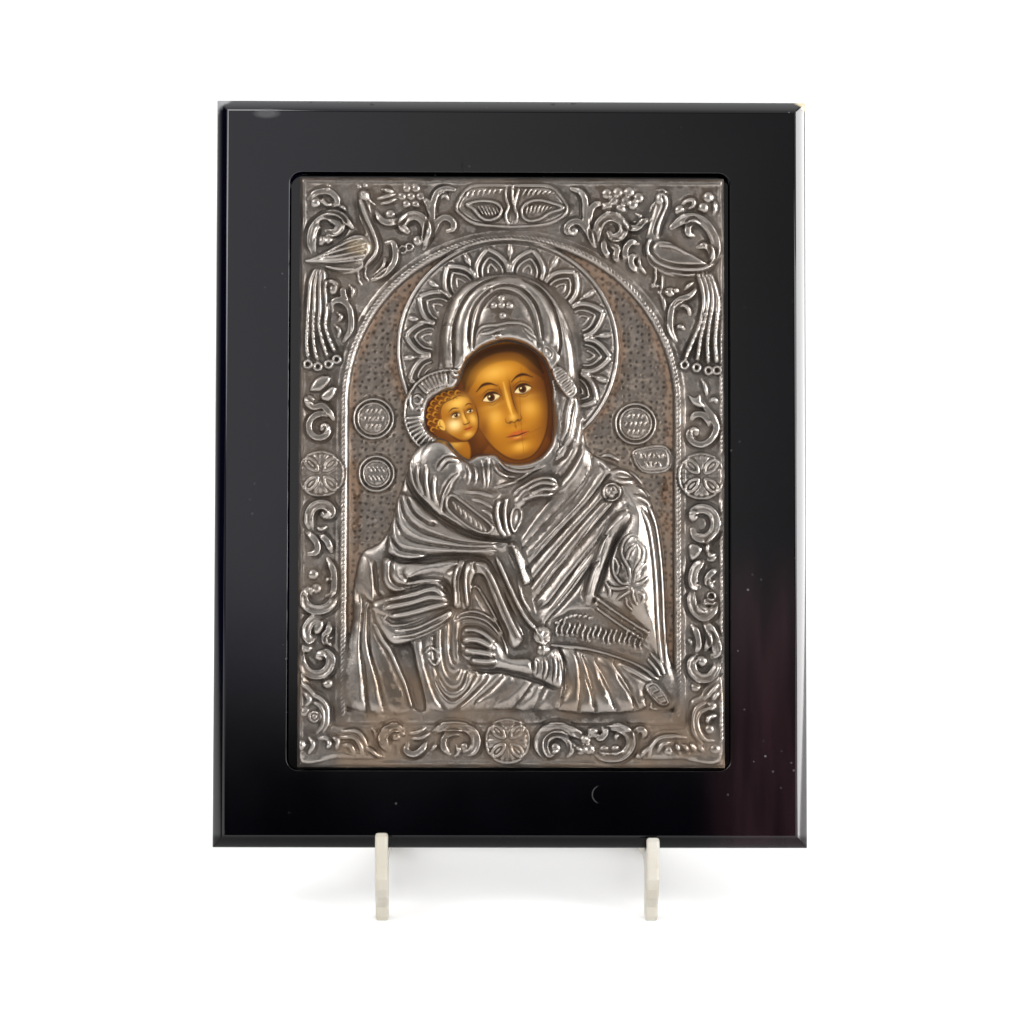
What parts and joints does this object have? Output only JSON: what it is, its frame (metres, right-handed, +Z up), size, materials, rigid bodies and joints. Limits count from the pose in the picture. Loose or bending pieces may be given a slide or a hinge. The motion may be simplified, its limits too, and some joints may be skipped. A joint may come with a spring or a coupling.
{
  "type": "icon panel",
  "caption": "Devotional icon on a lacquered board, with an embossed silver cover pierced for painted faces, leaning on a two-legged display stand.",
  "frame": {"origin": "centre of the footprint on the surface that the stand stands on", "axes": "+Z up, front faces -Y, +X to the right as seen from the front; the board leans back 14 degrees"},
  "size_m": [0.2, 0.1138, 0.2709],
  "materials": {
    "lacquer": "black lacquer over wood, glossy, dusty, worn at two corners",
    "paint": "amber egg paint on thin wood, satin",
    "silver": "embossed silver, bright on the ridges, brown patina in the hollows",
    "ivory": "ivory moulded plastic, satin"
  },
  "bodies": {
    "root": {"board": "lacquer", "painted_panel": "paint", "silver_cover": "silver", "stand_side_left": "ivory", "stand_side_right": "ivory", "stand_bar_rear": "ivory", "stand_bar_upper": "ivory"}
  },
  "joints": []
}
